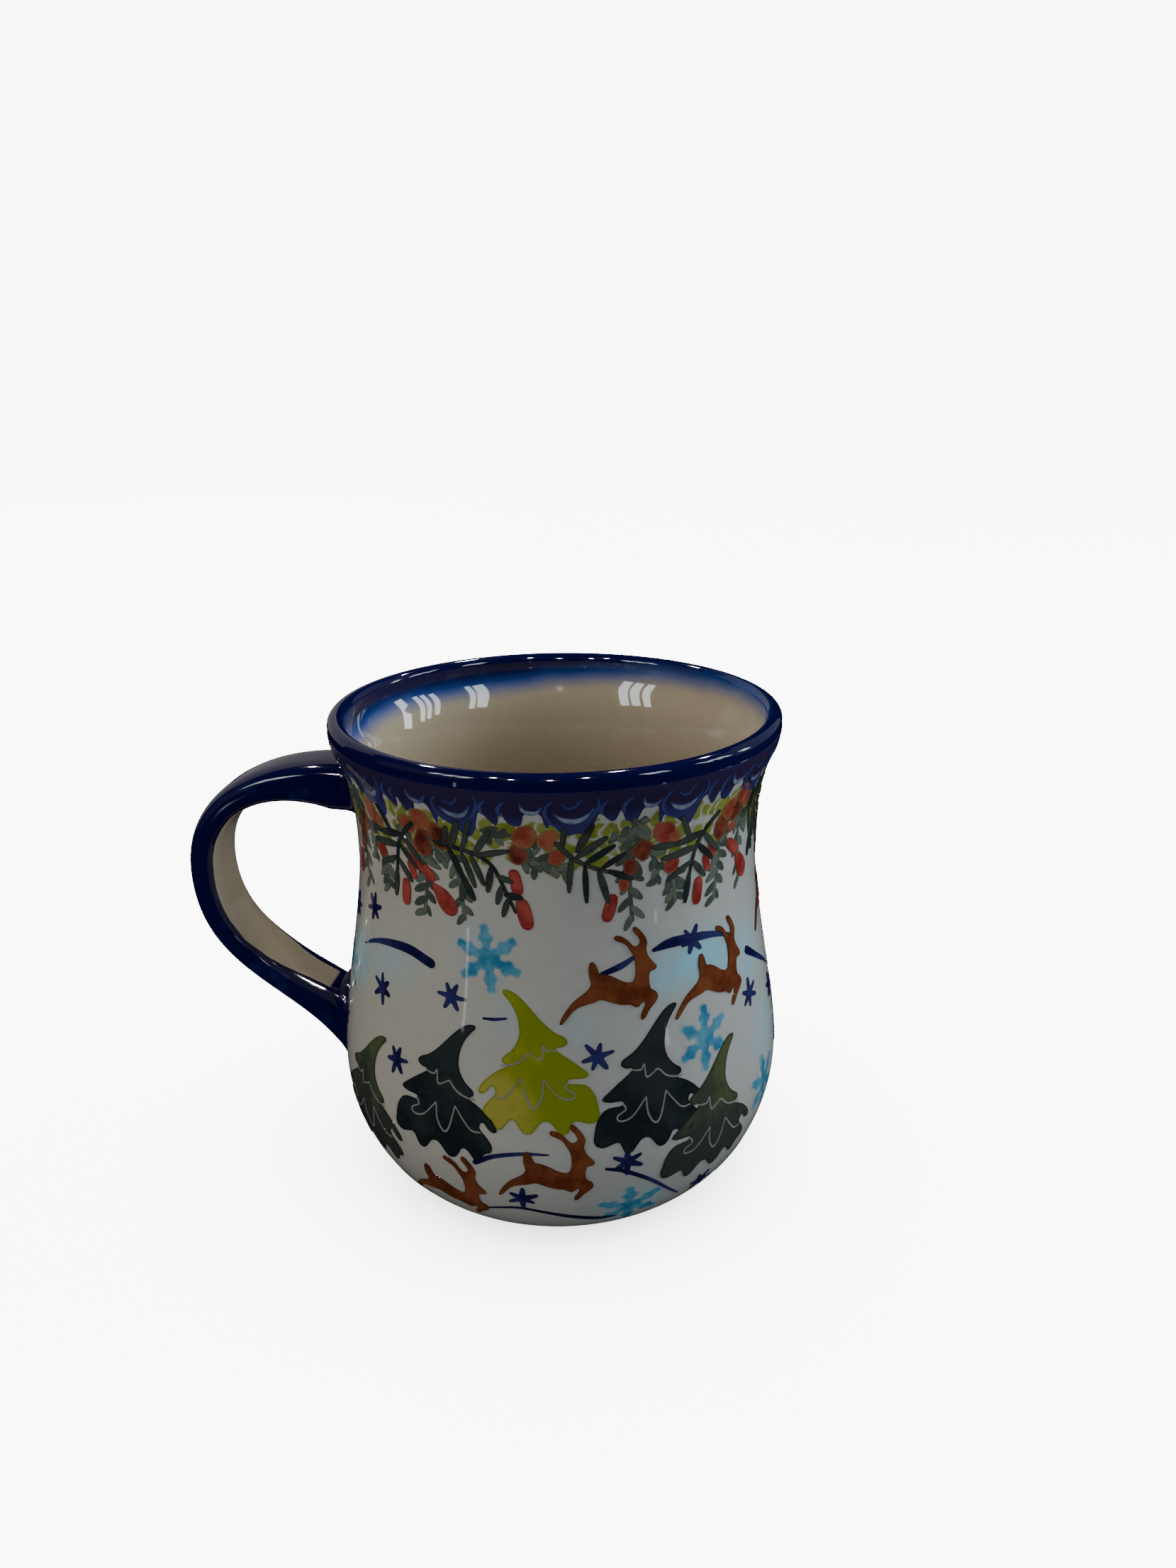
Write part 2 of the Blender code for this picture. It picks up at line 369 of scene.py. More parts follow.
def paint_finish(name, edge_width=0.5, edge_strength=0.7, scale=220.0):
    """Brushed underglaze colour: uneven density, with pigment pooled along the edge."""
    thin, thick, edge = PAINTS[name]
    finish = Finish(name)
    finish.waves()
    shade = finish.math("SUBTRACT", finish.attribute("tone"), 0.5)
    density = finish.math("ADD", finish.noise(scale, 4.0, 0.6), shade)
    tint = finish.mix(finish.ramp(density, 0.35, 0.65), thin, thick)
    pool = finish.ramp(finish.attribute("rim"), edge_width, 0.0, 0.0, edge_strength)
    return finish.color(finish.mix(pool, tint, edge))


def sprayed_finish(name, color, core, soft=0.7):
    """Soft colour that thins out to the ground over `soft` mm at its edge."""
    finish = Finish(name)
    finish.waves()
    density = finish.noise(260.0, 3.0, 0.6)
    tint = finish.mix(finish.ramp(density, 0.35, 0.70), color, core)
    uneven = finish.math("MULTIPLY", finish.math("SUBTRACT", density, 0.5), 0.7 * soft)
    cover = finish.ramp(finish.math("ADD", finish.attribute("rim"), uneven), 0.07 * soft, soft)
    keep = finish.ramp(finish.attribute("rim"), 0.0, 0.10)
    # The ground that shows at the soft edge carries the same painted light and painted shade.
    return finish.color(finish.mix(finish.math("MULTIPLY", cover, keep), ground(finish), tint))


# ---------------- painted shapes
def soften(points, rounds=3):
    """Round a closed outline by cutting its corners."""
    loop = np.array(points, dtype=float)
    for _ in range(rounds):
        ahead = np.roll(loop, -1, axis=0)
        loop = np.stack([loop * 0.75 + ahead * 0.25, loop * 0.25 + ahead * 0.75], axis=1)
        loop = loop.reshape(-1, 2)
    return loop


def respace(loop, step):
    """Split a closed outline's long edges and merge its shortest ones."""
    closed = np.vstack([loop, loop[:1]])
    length = running_length(closed)
    count = max(8, int(round(length[-1] / step)))
    marks = np.linspace(0.0, length[-1], count, endpoint=False)
    return np.stack([np.interp(marks, length, closed[:, i]) for i in (0, 1)], axis=-1)


def smooth_path(points, count):
    """An open curve through points, with its numbers past x and y carried along."""
    p = np.array(points, dtype=float)
    p = np.vstack([2 * p[0] - p[1], p, 2 * p[-1] - p[-2]])
    spans = len(p) - 3
    out = []
    for u in np.linspace(0.0, spans, count):
        i = min(int(u), spans - 1)
        t = u - i
        a, b, c, d = p[i:i + 4]
        out.append(0.5 * (2 * b + (c - a) * t + (2 * a - 5 * b + 4 * c - d) * t * t
                          + (3 * b - a - 3 * c + d) * t**3))
    return np.array(out)


def brush(points, count=14):
    """Outline of a brush stroke through points of (x, y, width), with round ends."""
    line = smooth_path(points, count)
    line[:, 2] = np.maximum(line[:, 2], FINEST_STROKE)
    way = np.gradient(line[:, :2], axis=0)
    way /= np.hypot(*way.T)[:, None]
    side = np.stack([-way[:, 1], way[:, 0]], axis=-1)
    half = line[:, 2:3] / 2
    left, right = line[:, :2] + side * half, line[:, :2] - side * half
    cap = [math.radians(a) for a in (60, 20, -20, -60)]
    tail = [line[-1, :2] + half[-1] * (side[-1] * math.sin(a) + way[-1] * math.cos(a)) for a in cap]
    head = [line[0, :2] - half[0] * (side[0] * math.sin(a) + way[0] * math.cos(a)) for a in cap]
    return np.vstack([left, tail, right[::-1], head])


def distance_to(points, loop):
    """Distance from each point to a closed outline."""
    a, b = loop, np.roll(loop, -1, axis=0)
    d = b - a
    t = ((points[:, None] - a) * d).sum(-1) / np.maximum((d * d).sum(-1), 1e-12)
    nearest = a + np.clip(t, 0.0, 1.0)[..., None] * d
    return np.sqrt(((points[:, None] - nearest) ** 2).sum(-1)).min(1)


def inside(points, loop):
    """Which points lie in a closed outline."""
    x, y = points[:, 0:1], points[:, 1:2]
    ax, ay = loop.T
    bx, by = np.roll(loop, -1, axis=0).T
    crosses = (ay > y) != (by > y)
    at = ax + (y - ay) * (bx - ax) / np.where(by == ay, 1e-12, by - ay)
    return ((crosses & (x < at)).sum(1) % 2).astype(bool)


def fill(loop, grid, rings):
    """Triangles over an outline, with extra points in rings near its edge and on a grid."""
    way = np.roll(loop, -1, axis=0) - np.roll(loop, 1, axis=0)
    way /= np.maximum(np.hypot(*way.T)[:, None], 1e-9)
    normal = np.stack([-way[:, 1], way[:, 0]], axis=-1)
    area = (loop[:, 0] * np.roll(loop[:, 1], -1) - np.roll(loop[:, 0], -1) * loop[:, 1]).sum()
    inward = normal if area > 0 else -normal
    extra = []
    for depth in rings:
        ring = loop + inward * depth
        keep = inside(ring, loop) & (distance_to(ring, loop) > depth * 0.92)
        extra.append(ring[keep])
    low, high = loop.min(0), loop.max(0)
    rows = np.arange(low[1], high[1], grid * 0.87)
    mesh = [(x + (k % 2) * grid / 2, y) for k, y in enumerate(rows)
            for x in np.arange(low[0], high[0], grid)]
    if mesh:
        mesh = np.array(mesh)
        mesh = mesh[inside(mesh, loop)]
        if len(mesh):
            deepest = (rings[-1] if rings else 0.0) + grid * 0.4
            extra.append(mesh[distance_to(mesh, loop) > deepest])
    points = np.vstack([loop] + extra)
    border = [list(range(len(loop)))]
    found = delaunay_2d_cdt([Vector(p) for p in points], [], border, 1, 1e-5)
    verts = np.array([tuple(v) for v in found[0]])
    return verts, [tuple(f) for f in found[2]]


class Skin:
    """Painted shapes laid on the wall and gathered into one thin closed mesh."""

    def __init__(self, layer=0, grid=2.2, rings=(0.3,), spacing=0.7):
        self.grid, self.rings, self.spacing = grid, rings, spacing
        self.base = PAINT_LIFT + layer * LAYER_LIFT
        self.verts, self.faces, self.rim, self.tone = [], [], [], []
        self.strokes = 0
        self.filled = {}

    def triangles(self, outline, spacing):
        """An outline's points, faces and distances to its edge, worked out once for repeats."""
        key = np.asarray(outline).tobytes()
        if key not in self.filled:
            loop = respace(np.asarray(outline), spacing)
            verts, faces = fill(loop, self.grid, self.rings)
            self.filled[key] = (verts, faces, distance_to(verts, loop))
        return self.filled[key]

    def lay(self, outline, azimuth, along, turn=0.0, size=1.0, flip=False, tone=0.5, spacing=None):
        """Lay an outline drawn in mm at an azimuth (degrees) and distance up the wall (mm)."""
        flat, faces, rim = self.triangles(outline, spacing or self.spacing)
        x, y = (flat * size).T
        if flip:
            x = -x
            faces = [(a, c, b) for a, b, c in faces]
        cosine, sine = math.cos(math.radians(turn)), math.sin(math.radians(turn))
        x, y = x * cosine - y * sine, x * sine + y * cosine
        angle = math.radians(azimuth) + x * MM / wall_radius_along(along * MM)
        height = (along + y) * MM
        lift = self.base + self.strokes % 12 * STEP_LIFT
        self.strokes += 1
        self.join(faces, len(self.verts), len(flat))
        self.verts += list(on_wall(angle, height, lift)) + list(on_wall(angle, height, -PAINT_ROOT))
        self.rim += list(rim * size) * 2
        shade = tone(flat) if callable(tone) else np.full(len(flat), tone)
        self.tone += list(shade) * 2

    def join(self, faces, start, count):
        """Add the faces of a shape's top and back, and the narrow sides between them."""
        border = set()
        for a, b, c in faces:
            self.faces.append((start + a, start + b, start + c))
            self.faces.append((start + count + a, start + count + c, start + count + b))
            for edge in ((a, b), (b, c), (c, a)):
                if edge[::-1] in border:
                    border.remove(edge[::-1])
                else:
                    border.add(edge)
        for a, b in sorted(border):
            self.faces.append((start + b, start + a, start + count + a, start + count + b))

    def build(self, name, material):
        """Make the gathered shapes into one piece."""
        attributes = (("rim", self.rim), ("tone", self.tone))
        dress(add_mesh(name, self.verts, self.faces, [material], attributes), "white_glaze")


# ---------------- vessel and handle
def lip_points(count):
    """The half round of the lip, between the outer and the inner wall."""
    centre = np.array(OUTER_ARCS[-1][-1]) - (LIP_RADIUS, 0.0)
    angles = math.pi * np.arange(1, count) / count
    return centre + LIP_RADIUS * np.stack([np.cos(angles), np.sin(angles)], axis=-1)


def add_vessel():
    """The vessel, with the distance from the top of the lip (mm, positive inside) at each point."""
    foot = [(0.0, BASE_RECESS), (FOOT_INNER_RADIUS - BASE_RECESS, BASE_RECESS),
            (FOOT_INNER_RADIUS, 0.0), (FOOT_OUTER_RADIUS, 0.0)]
    outer = chain(OUTER_ARCS, 36)
    lip = lip_points(24)
    inner = chain(INNER_ARCS, 26)
    profile = np.vstack([foot, outer, lip, inner, [(0.0, inner[-1][1])]])
    length = running_length(profile) / MM
    crown = len(foot) + len(outer) + len(lip) // 2
    turn = length - length[crown]
    piece = turned("vessel", profile, (body_finish(), bisque_finish()), (("turn", turn),),
                   lambda i: int(1 <= i < len(foot)))
    dress(piece, "white_glaze", "mug_body")


def handle_line():
    """Centre, direction and outward side of the strap at each of its stations."""
    flat = chain(HANDLE_ARCS, HANDLE_STEPS)
    line = np.stack([-flat[:, 0], np.zeros(len(flat)), flat[:, 1]], axis=-1)
    way = np.gradient(line, axis=0)
    way /= np.linalg.norm(way, axis=1)[:, None]
    return line, way, np.cross((0.0, 1.0, 0.0), way)


def root_flare(run, length):
    """Extra thickness of the strap's inner side where it runs out into its two roots."""
    top = np.clip(1.0 - run / TOP_FLARE[1], 0.0, 1.0) ** 1.7 * TOP_FLARE[0]
    low = np.clip(1.0 - (length - run) / LOW_FLARE[1], 0.0, 1.0) ** 1.7 * LOW_FLARE[0]
    return top + low


def strap_ring(centre, outward, grow=0.0, flare=0.0):
    """One rounded section of the strap: flatter inside, fuller outside."""
    angle = 2.0 * math.pi * np.arange(SECTION_POINTS) / SECTION_POINTS
    c, s = np.cos(angle), np.sin(angle)
    across = np.sign(c) * np.abs(c) ** 0.62 * (HANDLE_WIDTH / 2 + grow)
    depth = HANDLE_THICKNESS / 2 + grow + np.where(s < 0, flare, 0.0)
    thick = np.sign(s) * np.abs(s) ** np.where(s < 0, 0.55, 0.8) * depth
    return centre + across[:, None] * (0.0, 1.0, 0.0) + thick[:, None] * outward


def slide_to_wall(points, towards, offset):
    """Move points along a direction until they are `offset` outside the wall."""
    low, high = np.full(len(points), -0.03), np.full(len(points), 0.03)
    for _ in range(36):
        middle = (low + high) / 2
        p = points + middle[:, None] * towards
        out = np.hypot(p[:, 0], p[:, 1]) > wall_radius_at(p[:, 2]) + offset
        low, high = np.where(out, middle, low), np.where(out, high, middle)
    return points + high[:, None] * towards


def loft(name, rings, materials, attributes=()):
    """Join rings of equal length into a closed shape with a point at each end."""
    tips = [rings[0].mean(0), rings[-1].mean(0)]
    verts = np.vstack(rings + [tips])
    first, last = len(verts) - 2, len(verts) - 1
    end = (len(rings) - 1) * SECTION_POINTS
    faces = []
    for k in range(SECTION_POINTS):
        n = (k + 1) % SECTION_POINTS
        faces.append((first, n, k))
        faces.append((last, end + k, end + n))
        for row in range(0, end, SECTION_POINTS):
            below = row + SECTION_POINTS
            faces.append((row + k, row + n, below + n, below + k))
    return add_mesh(name, verts, faces, materials, attributes)


def handle_finish(length):
    """Navy all round, with the inner face left cream inside a hand-painted border; painted light makes
    the cream lighter towards the upper root.
    """
    finish = Finish("navy_glaze", roughness=0.06)
    finish.waves(0.08)
    run = finish.attribute("run")
    wobble = finish.math("MULTIPLY", finish.noise(130.0, 2.0), 1.3)
    border = finish.math("ADD", finish.attribute("across"), wobble)
    reach = finish.ramp(run, length - 30.0, length - 8.0, 6.8, 4.4)
    bare = finish.ramp(finish.math("SUBTRACT", reach, border), -0.1, 0.1)
    bare = finish.math("MULTIPLY", bare, finish.ramp(run, 7.0, 7.6))
    bare = finish.math("MULTIPLY", bare, finish.ramp(run, length - 8.2, length - 8.8))
    cream = finish.mix(finish.ramp(finish.noise(70.0, 3.0), 0.35, 0.65), CREAM, CREAM_SHADE)
    # Painted light: the cream is lighter along the upper part of the strap's inner face.
    cream = finish.mix(finish.ramp(run, 0.70 * length, 0.45 * length), cream, CREAM_PAINTED_LIGHT)
    return finish.color(finish.mix(bare, navy_tint(finish), cream))


def navy_tint(finish):
    """Deep navy, a little thinner here and there."""
    thin = finish.ramp(finish.noise(160.0, 4.0), 0.55, 0.75, 0.0, 0.18)
    return finish.mix(thin, NAVY, NAVY_THIN)


def add_handle():
    """The strap, with its run (mm) and the distance across its inner face on each point."""
    line, way, outward = handle_line()
    run = running_length(line[:, ::2])
    rings = [strap_ring(c, o, 0.0, root_flare(r, run[-1])) for c, o, r in zip(line, outward, run)]
    rings[0] = slide_to_wall(rings[0], -way[0], -HANDLE_SINK)
    rings[-1] = slide_to_wall(rings[-1], way[-1], -HANDLE_SINK)
    angle = 2.0 * math.pi * np.arange(SECTION_POINTS) / SECTION_POINTS
    reach = np.abs(np.array(rings)[:, :, 1]) / MM
    outside = 12.0            # past the border, so navy
    across = np.where(np.sin(angle) < 0.02, reach, outside).ravel()
    along = np.repeat(run / MM, SECTION_POINTS)
    piece = loft("handle_strap", rings, [handle_finish(run[-1] / MM)],
                 (("across", [*across, outside, outside]), ("run", [*along, 0.0, 0.0])))
    dress(piece, "navy_glaze", "handle")


def add_roots():
    """Two fillets of joining clay, tangent to the wall and to the strap."""
    finish = Finish("navy_root", roughness=0.06)
    finish.waves(0.08)
    finish.color(navy_tint(finish))
    line, way, outward = handle_line()
    ends = (("upper", 0, -way[0], TOP_FLARE[0]), ("lower", -1, way[-1], LOW_FLARE[0]))
    for side, station, inward, flare in ends:
        steps = [(FILLET, -FILLET_SINK)]
        for i in range(11):
            height = FILLET * i / 10
            spread = FILLET - math.sqrt(FILLET**2 - (FILLET - height) ** 2)
            steps.append((spread + 0.02 * MM, height))
        steps.append((-0.3 * MM, FILLET + 0.3 * MM))
        rings = [slide_to_wall(strap_ring(line[station], outward[station], grow, flare), inward, height)
                 for grow, height in steps]
        piece = loft(side + "_root", rings, [finish.material])
        dress(piece, "navy_glaze", side + "_handle_slip_joint")


# ---------------- motifs, drawn in mm round the point where they are laid
FIR = (
    (6.6, 28), (7.1, 27.4), (5.8, 26.2), (4.4, 24.4), (3.4, 21.6), (3.4, 18.8), (4.8, 16.3),
    (7, 14.8), (6.6, 13.6), (4.8, 13.6), (7.4, 12.4), (9.6, 10.6), (11.5, 8.3), (11.4, 7),
    (10, 7.4), (9, 9), (8.4, 9.2), (7.8, 8), (8.2, 7.2), (9.4, 6), (10.6, 4.2),
    (10.2, 2.6), (8.8, 2.6), (8, 0.6), (7, 0.2), (6.2, 1.4), (5.2, 2.8), (4.2, 2.8),
    (3.6, 1.4), (2.6, 0), (1.2, -0.1), (0.2, 1.4), (-0.8, 2.8), (-2.2, 2.8), (-3.2, 1.6),
    (-4.2, 0), (-5.6, 0), (-6.2, 1.6), (-6.8, 3), (-8.4, 2.4), (-10.2, 1.8), (-11.8, 3),
    (-11.4, 5.4), (-11, 7.6), (-9.6, 9.7), (-7.6, 10.1), (-5.8, 10), (-5.4, 10.9),
    (-6.6, 11.1), (-8.4, 11), (-10.3, 11.6), (-8.6, 13), (-6.6, 14.6), (-4.4, 16.1),
    (-3.4, 16.9), (-3.6, 17.3), (-5, 17.2), (-6.2, 18.1), (-5.4, 19.2), (-3.4, 20),
    (-1.2, 21.9), (1, 24.3), (2.8, 26.2), (4.8, 27.7),
)
# Lines scratched through the colour to the clay: (x, y, width), and what scales the widths.
SCRATCH_WIDTH = 0.85
FIR_SCRATCHES = (
    ((-3.8, 16.8, 0.3), (-1.9, 16.6, 0.4), (-1.2, 17.6, 0.3), (-0.9, 14.9, 0.4), (0.8, 15.6, 0.3)),
    ((0.8, 15.6, 0.3), (1.7, 16, 0.35), (3.2, 14.4, 0.4), (5, 13.6, 0.4), (7, 13.3, 0.3)),
    ((-5.8, 10.4, 0.5), (-5.3, 9.3, 0.3), (-7, 8.2, 0.35), (-6.6, 7.1, 0.4), (-4.2, 7.6, 0.35),
     (-1.2, 11, 0.3)),
    ((-1.2, 11, 0.3), (-0.9, 7.6, 0.4), (0.5, 5.4, 0.45), (1.7, 6.6, 0.4), (3, 11.3, 0.3)),
    ((3, 11.3, 0.3), (4.6, 9, 0.35), (6.4, 7, 0.4), (8.3, 6.9, 0.35)),
)
DEER = (
    (-10.4, -5.7), (-9.2, -3.4), (-7.6, -1.4), (-5.8, -0.2), (-4.6, 0.8), (-4.3, 1.9),
    (-4.8, 3.2), (-4.7, 5.4), (-4, 6), (-3.2, 5), (-2.8, 3.2), (-1.8, 3.3), (-0.2, 2.6),
    (1.2, 1.6), (2.6, 1), (3.7, 0.9), (4.2, 2.4), (4.2, 4.4), (4, 5.8), (3.3, 7),
    (2.6, 8.3), (1.3, 9), (0.1, 9.5), (0.3, 10.4), (1.6, 10.1), (2.9, 9.2), (3.8, 7.9),
    (4.6, 7.5), (5.5, 8.2), (5.1, 9.4), (3.9, 10.6), (4, 11.7), (4.9, 11.3), (5.7, 10.3),
    (6.5, 9.2), (6.9, 8), (6.4, 6.9), (6.8, 5.4), (7.7, 4.2), (8.8, 3), (7.9, 2.4),
    (6.9, 2.5), (6.7, 0.6), (6.9, -1), (8.1, -1.6), (8.5, -2.8), (7.6, -3.9), (6.4, -4.9),
    (5.6, -6.3), (4.8, -6.8), (4.6, -5.8), (5.4, -4.4), (6, -3.4), (5.2, -3), (4.4, -4.1),
    (3.6, -3.9), (3, -3.2), (0.8, -3), (-1.4, -2), (-2.8, -1.4), (-4, -2),
    (-5.8, -2.3), (-7.4, -2.9), (-8.8, -4.6), (-9.9, -6.1),
)
DROP = ((-2.9, 2.9), (-1.2, 2.6), (0.6, 1.8), (2.2, 0.2), (2.9, -1.6), (2.2, -3), (0.6, -3.2),
        (-1, -2), (-2, 0.2))
POD = ((-0.9, 3.2), (0.5, 3.3), (1.3, 2.2), (1.4, -1.8), (0.8, -3.2), (-0.6, -3.3), (-1.4, -2.2),
       (-1.4, 1.8))


def arm(half, angle):
    """An arm's outline turned by an angle: a half drawn along +X, then its mirror image."""
    c, s = math.cos(angle), math.sin(angle)
    whole = [*half, *((x, -y) for x, y in half[::-1])]
    return [(x * c - y * s, x * s + y * c) for x, y in whole]


def star_outline(rng):
    """A six-stroke star with slightly uneven, round-ended strokes."""
    points = []
    for k in range(6):
        angle = math.radians(60.0 * k + rng.uniform(-6, 6))
        tip = 3.1 * rng.uniform(0.86, 1.12)
        wide = rng.uniform(0.85, 1.15)
        half = ((1.05, -0.58 * wide), (tip * 0.72, -0.46 * wide), (tip, -0.28 * wide))
        points += arm(half, angle)
    return soften(points, 2)


def flake_outline():
    """A six-armed snowflake with one pair of stubby side branches on each arm."""
    half = ((2.1, -1.2), (3.0, -1.1), (3.6, -2.7), (4.7, -2.8), (4.7, -1.1), (6.1, -1.3), (7.0, -0.8))
    points = []
    for k in range(6):
        points += arm(half, math.radians(60 * k + 30))
    return soften(points, 2)


def blot(rng, radius, squash):
    """An uneven round blot of colour."""
    corners = 9
    points = []
    for k in range(corners):
        angle = 2 * math.pi * (k + rng.uniform(-0.25, 0.25)) / corners
        reach = radius * rng.uniform(0.72, 1.22)
        points.append((reach * math.cos(angle), reach * math.sin(angle) * squash))
    return soften(points, 2)


# Places round the wall as azimuth in degrees and distance up the wall in mm: firs with their colour
# first and whether they are mirrored last, deer with their turn, flakes with their turn and size.
FIR_PLACES = (
    ("light", -86.5, 33.6, True), ("dark", -59, 28.3, False), ("dark", -110.5, 26, False),
    ("olive", -139, 17.3, False), ("olive", -41, 17.3, False), ("dark", 14, 28, False),
    ("light", 38, 33.4, True), ("olive", 60, 17.6, True), ("dark", 84, 28.2, False),
    ("light", 109, 33.6, True), ("olive", 130, 17.4, False), ("dark", 151, 28, True),
)
DEER_PLACES = (
    (-67, 61, 0), (-36.5, 57.5, -6), (-84, 24.2, 0), (-112, 15.5, -4),
    (2, 66, 0), (60, 58.5, -4), (14, 22, 0), (90, 66, 0), (84, 22, 0),
    (136, 60.5, 0),
)
FLAKE_PLACES = (
    (-99, 67, 8, 1), (-42.5, 47, -4, 1), (-63, 12.5, 6, 1.05), (-17, 28.5, 10, 1),
    (30, 70, 3, 0.9), (72, 45, -8, 0.9), (62, 13, 0, 1), (128, 46, 5, 0.9),
    (118, 70, 12, 0.95), (152, 58, -5, 1), (-158, 52, 4, 0.9),
)
STAR_PLACES = (
    (-141, 69.3), (-133.5, 54.6), (-109, 58.5), (-125.5, 42.2), (-72, 48.6), (-43.8, 67),
    (-22, 50), (-4, 45.5), (-65.3, 26.4), (-91, 17.8), (-40, 12.4),
    (22, 55), (44, 70), (48, 50), (76, 57), (72, 70), (106, 69),
    (97, 46), (120, 56), (140, 72), (146, 46), (38, 12.5), (112, 12.5),
    (-156, 66), (-160, 40), (160, 14), (-164, 12),
)
# Cobalt strokes: points of (azimuth in degrees, distance up the wall and width in mm).
STROKES = (
    ((-146, 60.4, 0.3), (-139, 62.9, 0.9), (-131, 64.5, 1.5), (-123, 65, 1.9), (-115.5, 63.8, 1.9)),
    ((-70, 64.3, 0.9), (-65, 65.4, 1.2), (-60, 67.2, 0.5)),
    ((-56, 67.2, 0.7), (-51, 67.8, 1.9), (-44, 67.4, 1.8), (-36, 66.4, 1.2), (-27, 64, 0.5)),
    ((-20.5, 58.8, 1.7), (-14, 55.6, 1.2), (-7, 52.2, 0.8), (-3, 50, 0.3)),
    ((-100, 55.5, 0.4), (-97, 55.6, 0.6), (-94, 56, 0.4)),
    ((-102, 26, 1.1), (-97, 28.2, 0.9), (-90, 29.4, 0.7), (-84, 29.4, 0.3)),
    ((-70.5, 25.4, 0.6), (-66, 24.2, 0.9), (-59, 20.4, 0.8), (-52, 15, 0.6), (-47.5, 11.5, 0.3)),
    ((24, 63.4, 0.5), (32, 65, 1.4), (40, 64.6, 1.9), (47, 62.4, 1.6)),
    ((78, 66.6, 0.6), (86, 63.8, 1.6), (94, 64.8, 1.3), (102, 65.8, 0.5)),
    ((146, 66, 0.5), (153, 67.2, 1.6), (160, 65.4, 1.8)),
    ((0, 25, 1), (6, 28.4, 0.9), (14, 29.4, 0.4)),
    ((92, 29, 0.4), (98, 30, 0.9), (104, 28, 1)),
)
# Darker lines of ground under the firs, drawn the same way.
GROUND_LINES = (
    ((-102, 12.2, 0.5), (-97, 13.6, 0.6), (-92, 14.3, 0.8), (-86, 13.2, 0.9), (-78, 10.9, 1.3),
     (-71, 9.1, 1.5), (-66, 9, 0.7)),
    ((-150, 9.6, 0.6), (-142, 8.8, 1.1), (-132, 8.6, 1.3), (-122, 9.6, 0.6)),
    ((-30, 10, 0.5), (-20, 12, 0.9), (-10, 11.4, 1.3), (0, 9.2, 1.3), (8, 9, 0.6)),
    ((46, 9.4, 0.5), (56, 8.8, 1.1), (68, 9, 1.2), (80, 10.6, 0.6)),
    ((120, 12, 0.5), (130, 13.4, 0.8), (142, 11.2, 1.3), (154, 9.4, 0.8)),
)


def local(point, azimuth, along):
    """A point of (azimuth, distance up the wall) in mm from a place on the wall."""
    per_degree = math.radians(1.0) * wall_radius_along(along * MM) / MM
    return np.array(((point[0] - azimuth) * per_degree, point[1] - along))


def sweep(points):
    """A stroke given by azimuth and distance up the wall, as its place and outline."""
    azimuth = sum(p[0] for p in points) / len(points)
    along = sum(p[1] for p in points) / len(points)
    line = [(*local(p, azimuth, along), p[2]) for p in points]
    return azimuth, along, brush(line, 6 * len(points))


FIR_TONES = {
    "light": lambda flat: 0.42 + flat[:, 1] / 70 - flat[:, 0] / 45,
    "dark": lambda flat: 0.60 - flat[:, 1] / 90,
    "olive": lambda flat: 0.86 - flat[:, 1] / 48,
}


def add_firs():
    """Fir trees in three colours, with their scratched lines."""
    outline = soften(FIR)
    for i, (kind, tone) in enumerate(FIR_TONES.items()):
        skin = Skin(layer=3 + 0.4 * i, rings=(0.35, 0.8))
        for which, azimuth, along, flip in FIR_PLACES:
            if which == kind:
                skin.lay(outline, azimuth, along, flip=flip, tone=tone)
        skin.build("painted_fir_" + kind, paint_finish("fir_" + kind, scale=110.0))
    scratches = Skin(layer=4.3, grid=3.0, rings=())
    for _, azimuth, along, flip in FIR_PLACES:
        for line in FIR_SCRATCHES:
            fine = [(x, y, width * SCRATCH_WIDTH) for x, y, width in line]
            scratches.lay(brush(fine, 22), azimuth, along, flip=flip, spacing=0.45)
    scratches.build("scratched_lines", paint_finish("scratched", 0.2))


def add_deer():
    """The leaping deer."""
    skin = Skin(layer=4.8, spacing=0.6)
    outline = soften(DEER)
    for azimuth, along, turn in DEER_PLACES:
        skin.lay(outline, azimuth, along, turn=turn)
    skin.build("painted_deer", paint_finish("deer_brown", 0.22, 0.6))


def add_cobalt():
    """Stars and free strokes in cobalt, and the darker ground lines."""
    rng = random.Random(5)
    skin = Skin(layer=2, grid=1.2, rings=(0.22,), spacing=0.4)
    for azimuth, along in STAR_PLACES:
        skin.lay(star_outline(rng), azimuth, along, turn=rng.uniform(0, 60),
                 tone=rng.uniform(0.35, 0.6))
    for points in STROKES:
        azimuth, along, outline = sweep(points)
        half = max(abs(outline[:, 0]))
        heavy = 0.35 if points[-1][2] > points[0][2] else -0.35
        skin.lay(outline, azimuth, along, tone=lambda flat: 0.5 + heavy * flat[:, 0] / half)
    skin.build("painted_cobalt", paint_finish("cobalt", 0.25))
    lines = Skin(layer=1, grid=1.5, rings=(0.25,), spacing=0.5)
    for points in GROUND_LINES:
        azimuth, along, outline = sweep(points)
        lines.lay(outline, azimuth, along)
    lines.build("painted_ground_lines", paint_finish("deep_navy"))


def add_flakes():
    """The soft-edged snowflakes."""
    skin = Skin(grid=1.1, rings=(0.35, 0.75), spacing=0.6)
    outline = flake_outline()
    for azimuth, along, turn, size in FLAKE_PLACES:
        skin.lay(outline, azimuth, along, turn=turn, size=size)
    skin.build("sprayed_flakes", sprayed_finish("sky_blue", (0.12, 0.34, 0.47), (0.035, 0.18, 0.33)))


BAND_TILES = 13
BAND_ALONG = 97.0
